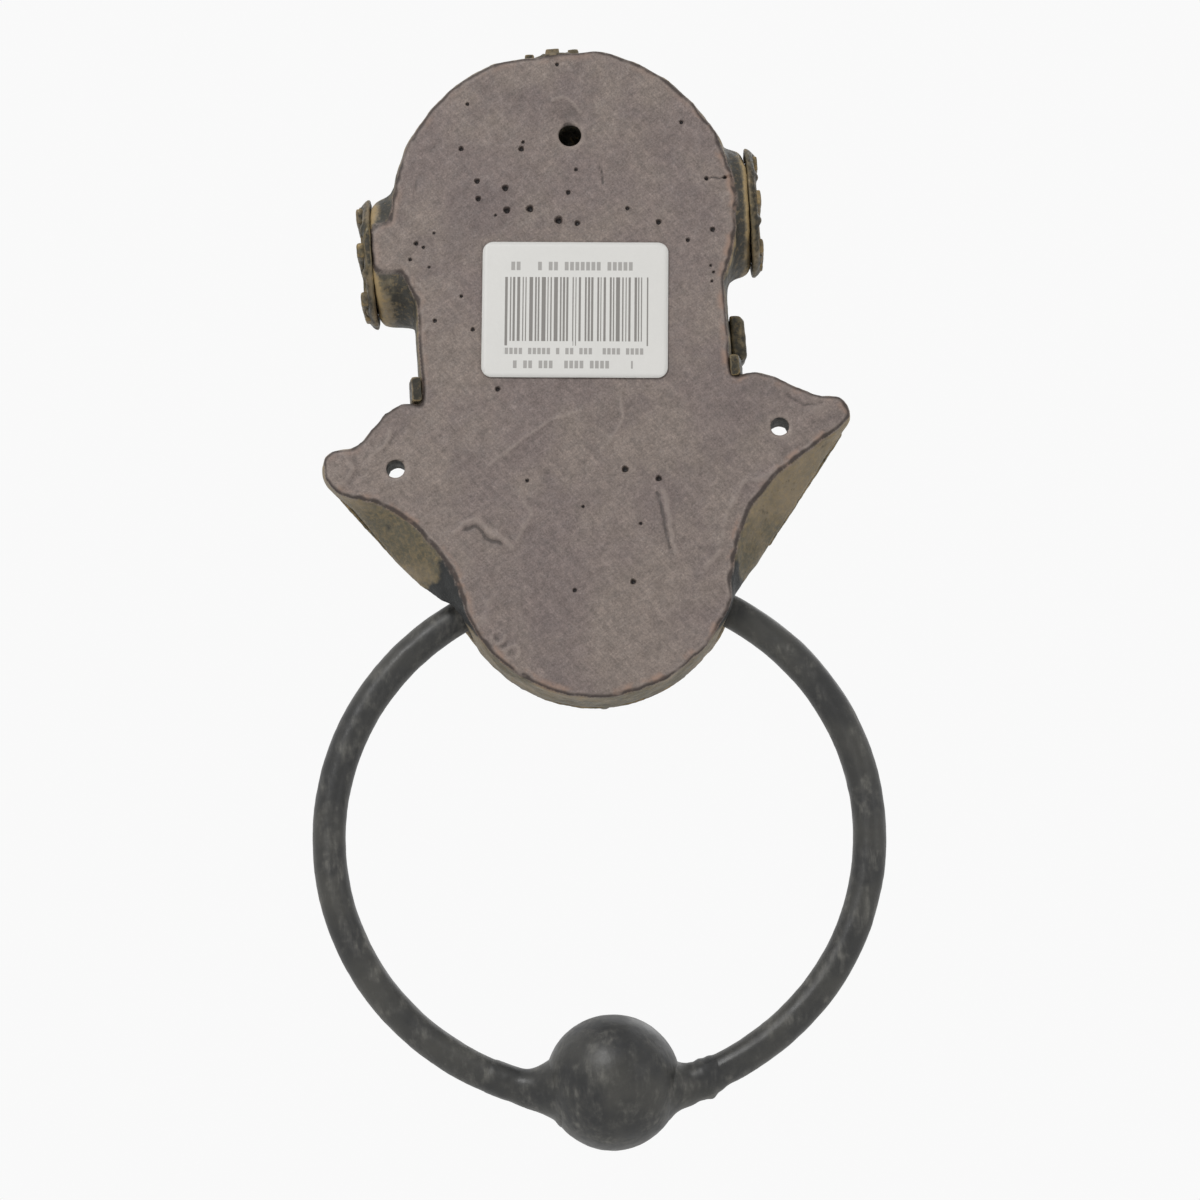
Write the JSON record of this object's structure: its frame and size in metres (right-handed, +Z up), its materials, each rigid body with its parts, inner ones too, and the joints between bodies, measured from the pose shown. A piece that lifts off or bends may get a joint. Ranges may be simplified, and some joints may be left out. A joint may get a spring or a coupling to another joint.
{
  "type": "door knocker",
  "caption": "Door knocker shaped as a diver's helmet and corselet in relief, with a swinging ring that ends in a striker ball.",
  "frame": {"origin": "on the flat back face, on the centreline, 2.7 mm below the ring's two pivots", "axes": "+Z up the door, +Y out of the back face into the door, so the relief stands out towards -Y"},
  "size_m": [0.1224, 0.052, 0.2437],
  "materials": {
    "cast_resin": "matte",
    "bronze_paint": "satin",
    "dark_glaze": "gloss",
    "bush_brass": "satin",
    "black_iron": "satin",
    "label_paper": "satin"
  },
  "bodies": {
    "helmet": {"body_casting": "cast_resin", "neck_ring": "bronze_paint", "neck_lugs": "bronze_paint", "right_brail": "bronze_paint", "left_brail": "bronze_paint", "bottom_brail": "bronze_paint", "brail_wing_nuts": "bronze_paint", "front_window_hinge": "bronze_paint", "front_window_clamp": "bronze_paint", "right_pivot_bush": "bush_brass", "left_pivot_bush": "bush_brass", "barcode_label": "label_paper", "right_window_frame": "bronze_paint", "right_window_guard": "bronze_paint", "right_window_pane": "dark_glaze", "left_window_frame": "bronze_paint", "left_window_guard": "bronze_paint", "left_window_pane": "dark_glaze", "front_window_frame": "bronze_paint", "front_window_guard": "bronze_paint", "front_window_pane": "dark_glaze", "top_window_frame": "bronze_paint", "top_window_guard": "bronze_paint", "top_window_pane": "dark_glaze"},
    "ring": {"ring_rod": "black_iron", "striker_ball": "black_iron", "tapered_collar": "black_iron", "stepped_collar": "black_iron"}
  },
  "joints": [
    {"name": "ring_swing", "type": "hinge", "parent": "helmet", "child": "ring", "pos_m": [-0.00015, -0.0145, 0.0027], "axis": [-0.9986, 0, -0.0536], "range_deg": [0, 148]}
  ]
}
